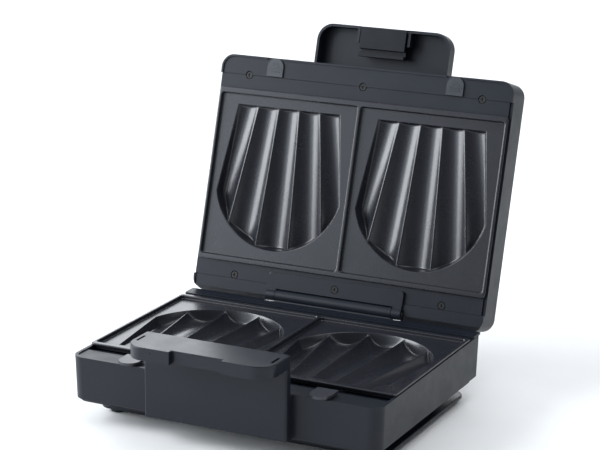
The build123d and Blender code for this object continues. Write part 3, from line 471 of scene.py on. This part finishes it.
def plate_mesh():
    """Mesh of one cooking plate in millimetres from the datum, its cells looking up."""
    bm = bmesh.new()
    tops, undersides = [], []
    for centre in (-CELL_X, CELL_X):
        cell_x = (centre - CELL_HALF, centre + CELL_HALF)
        walls = stepped_loops(bm, cell_x, CELL_Y, CELL_CORNER, CELL_PROFILE)
        flat_fill(bm, walls[0], cavity_grid(bm, centre, 0.0))
        tops.append(walls[-1])
        undersides.append(cavity_grid(bm, centre, SHEET))
    edge_x, edge_y = (-PLATE_HALF, PLATE_HALF), (-PLATE_DEPTH, 0.0)
    edge = stepped_loops(bm, edge_x, edge_y, PLATE_CORNER, EDGE_PROFILE)
    body = stepped_loops(bm, (-BODY_HALF, BODY_HALF), BODY_Y, BODY_CORNER, UNDER_PROFILE)
    flat_fill(bm, edge[0], *tops)
    flat_fill(bm, edge[-1], body[0])
    flat_fill(bm, body[-1], *undersides)
    for centre in (-LUG_X, LUG_X):
        for lug_y in LUG_DEPTHS:
            add_lug(bm, centre, lug_y)
    bmesh.ops.recalc_face_normals(bm, faces=bm.faces)
    return mesh_of(bm, "plate")


def add_plate(name, node_name, mesh, place):
    """Puts a plate's mesh in its place in the frame, instead of its CAD node."""
    mesh.transform(place)
    mesh.name = name
    if place.determinant() < 0:
        mesh.flip_normals()
    plate = add_piece(mesh, "nonstick")
    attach(plate, node_name)
    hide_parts(node_name)


lower_mesh = plate_mesh()
upper_mesh = lower_mesh.copy()
MIRROR_UP = Matrix.Translation((0.0, 0.0, PLATE_GAP)) @ Matrix.Diagonal((1.0, 1.0, -1.0, 1.0))
add_plate("lower_cooking_plate", "lower_plate", lower_mesh, TO_FRAME)
add_plate("upper_cooking_plate", "upper_plate", upper_mesh, SWING_OPEN @ TO_FRAME @ MIRROR_UP)


# ---------------------------------------------------------------- ribs on the lid's release tabs
TAB_X = 81.0
RIBS = ((2.2, -168.6), (4.0, -166.6), (6.0, -164.4), (4.6, -162.2))  # half length and y of each
RIB_HALF = 0.55
RIB_Z = (0.45, 1.1)  # from 0.25 mm proud of the tab's face to inside the tab
RIB_EASE = 0.16


def add_tab_ribs(side_name, side):
    """Four moulded ribs that stand a little proud of a lid tab's face."""
    bm = bmesh.new()
    for half, y in RIBS:
        rib_x = (side * TAB_X - half, side * TAB_X + half)
        small_block(bm, rib_x, (y - RIB_HALF, y + RIB_HALF), RIB_Z, RIB_EASE)
    bmesh.ops.recalc_face_normals(bm, faces=bm.faces)
    mesh = mesh_of(bm, f"upper_{side_name}_tab_ribs")
    mesh.transform(SWING_OPEN @ TO_FRAME)
    ribs = add_piece(mesh, "tab")
    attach(ribs, f"upper_release_{side_name}")


add_tab_ribs("left", -1)
add_tab_ribs("right", 1)


# ---------------------------------------------------------------- moulded parts
WELD_DISTANCE = 2e-6
SHARP_ANGLE = math.radians(32.0)


def ease_edges(node_name, width):
    """Eases a CAD piece's sharp edges and evens its shading."""
    piece = frame["nodes"][node_name]
    weld = piece.modifiers.new("join_faces", "WELD")
    weld.merge_threshold = WELD_DISTANCE
    bevel = piece.modifiers.new("eased_edges", "BEVEL")
    bevel.width = width
    bevel.segments = 2
    bevel.limit_method = "ANGLE"
    bevel.angle_limit = SHARP_ANGLE
    even_flats(piece, keep_sharp=False)


EASED = {  # how far each piece's edges are eased, in metres
    "base_housing": 0.0004, "handle_post": 0.0004, "lower_grip": 0.00035, "lid_housing": 0.0004,
    "lid_frame": 0.0003, "hinge_bracket": 0.0003, "upper_handle": 0.0004, "latch_clip": 0.0003,
    "cord_wrap_plate": 0.0004, "bottom_cover": 0.0004, "lower_release_left": 0.0003,
    "lower_release_right": 0.0003, "upper_release_left": 0.0002, "upper_release_right": 0.0002,
}
for node_name, width in EASED.items():
    ease_edges(node_name, width)


# ---------------------------------------------------------------- studio
COOL_WHITE = (0.93, 0.965, 1.0)
SKY_BLUE = (0.8, 0.9, 1.0)
FLOOR_HALF = 8.0
FLOOR_DROP = 0.0002  # keeps the floor clear of the feet's faces
LIGHT_AIM = Vector((0.0, 0.0, 0.12))
# Azimuth (0 in front, 90 on the right) and elevation in degrees, distance and size in metres,
# power in watts, colour.
SOFTBOXES = {
    "key_left": (-64.0, 22.0, 1.9, (1.2, 1.4), 54.0, COOL_WHITE),
    "front_left": (-42.0, 16.0, 1.9, (1.1, 0.7), 4.5, SKY_BLUE),
    "back_left": (206.0, 22.0, 2.3, (2.0, 1.0), 15.0, COOL_WHITE),
    "overhead": (120.0, 68.0, 1.9, (1.6, 1.2), 20.0, COOL_WHITE),
    "fill_right": (80.0, 25.0, 2.2, (0.9, 1.2), 3.5, COOL_WHITE),
}
# The room's strength, by how far a direction points towards its bright side, at the left and back.
BRIGHT_SIDE = (-0.9, 0.43, 0.0)
ROOM_STRENGTH = {"From Min": -0.55, "From Max": 0.75, "To Min": 0.18, "To Max": 1.0}


def unit_towards(azimuth, elevation):
    """Unit vector to a place that is seen at azimuth and elevation, in degrees."""
    a, e = math.radians(azimuth), math.radians(elevation)
    return Vector((math.sin(a) * math.cos(e), -math.cos(a) * math.cos(e), math.sin(e)))


def add_floor(material):
    """Wide flat floor just under the part."""
    bm = bmesh.new()
    bmesh.ops.create_grid(bm, x_segments=1, y_segments=1, size=FLOOR_HALF)
    floor = bpy.data.objects.new("floor", mesh_of(bm, "floor"))
    floor.matrix_world = Matrix.Translation((0.0, 0.0, cad_bounds[0][2] - FLOOR_DROP))
    floor.data.materials.append(material)
    bpy.context.scene.collection.objects.link(floor)


def softbox(name, azimuth, elevation, distance, size, power, colour):
    """Area light that looks at the part."""
    away = unit_towards(azimuth, elevation)
    light = bpy.data.lights.new(name, "AREA")
    light.shape = "RECTANGLE"
    light.size, light.size_y = size
    light.energy = power
    light.color = colour
    lamp = bpy.data.objects.new(name, light)
    lamp.rotation_euler = away.to_track_quat("Z", "Y").to_euler()
    lamp.location = LIGHT_AIM + away * distance
    bpy.context.scene.collection.objects.link(lamp)


floor_paint = surface(
    "pale_floor", (0.9, 0.9, 0.9), (0.92, 0.92, 0.92), (0.8, 0.9), grain=0.01, bump=1e-6
)
floor_paint.node_tree.nodes["Principled BSDF"].inputs["Specular IOR Level"].default_value = 0.0
add_floor(floor_paint)

world = bpy.data.worlds.new("studio")
world.use_nodes = True
bpy.context.scene.world = world
sky = world.node_tree
backdrop = sky.nodes["Background"]
backdrop.inputs["Color"].default_value = (*COOL_WHITE, 1.0)
direction = add_node(sky, "ShaderNodeTexCoord")
towards = add_node(sky, "ShaderNodeVectorMath", operation="DOT_PRODUCT")
towards.inputs[1].default_value = BRIGHT_SIDE
sky.links.new(direction.outputs["Generated"], towards.inputs[0])
shade = add_node(sky, "ShaderNodeMapRange", ROOM_STRENGTH)
sky.links.new(towards.outputs["Value"], shade.inputs["Value"])
sky.links.new(shade.outputs[0], backdrop.inputs["Strength"])

for light_name, setting in SOFTBOXES.items():
    softbox(light_name, *setting)


# ---------------------------------------------------------------- camera
AZIMUTH = 26.284
ELEVATION = 15.418
ROLL = math.radians(0.36)
FOCAL_PX = 2141.09
IMAGE_WIDTH_PX = 600.0
CAMERA_FROM_DATUM = Vector((0.71732, -1.49363, 0.5327))

back = unit_towards(AZIMUTH, ELEVATION)
level = Vector((0.0, 0.0, 1.0)).cross(back).normalized()
upright = back.cross(level)
right_way = level * math.cos(ROLL) + upright * math.sin(ROLL)
top_way = upright * math.cos(ROLL) - level * math.sin(ROLL)
camera_data = bpy.data.cameras.new("photo_view")
camera_data.sensor_width = 36.0
camera_data.lens = FOCAL_PX * camera_data.sensor_width / IMAGE_WIDTH_PX
camera_data.clip_start = 0.05
camera = bpy.data.objects.new("photo_view", camera_data)
turn = Matrix((right_way, top_way, back)).transposed().to_4x4()
camera.matrix_world = Matrix.Translation(DATUM + CAMERA_FROM_DATUM) @ turn
bpy.context.scene.collection.objects.link(camera)
bpy.context.scene.camera = camera
bpy.context.scene.view_settings.view_transform = "Standard"
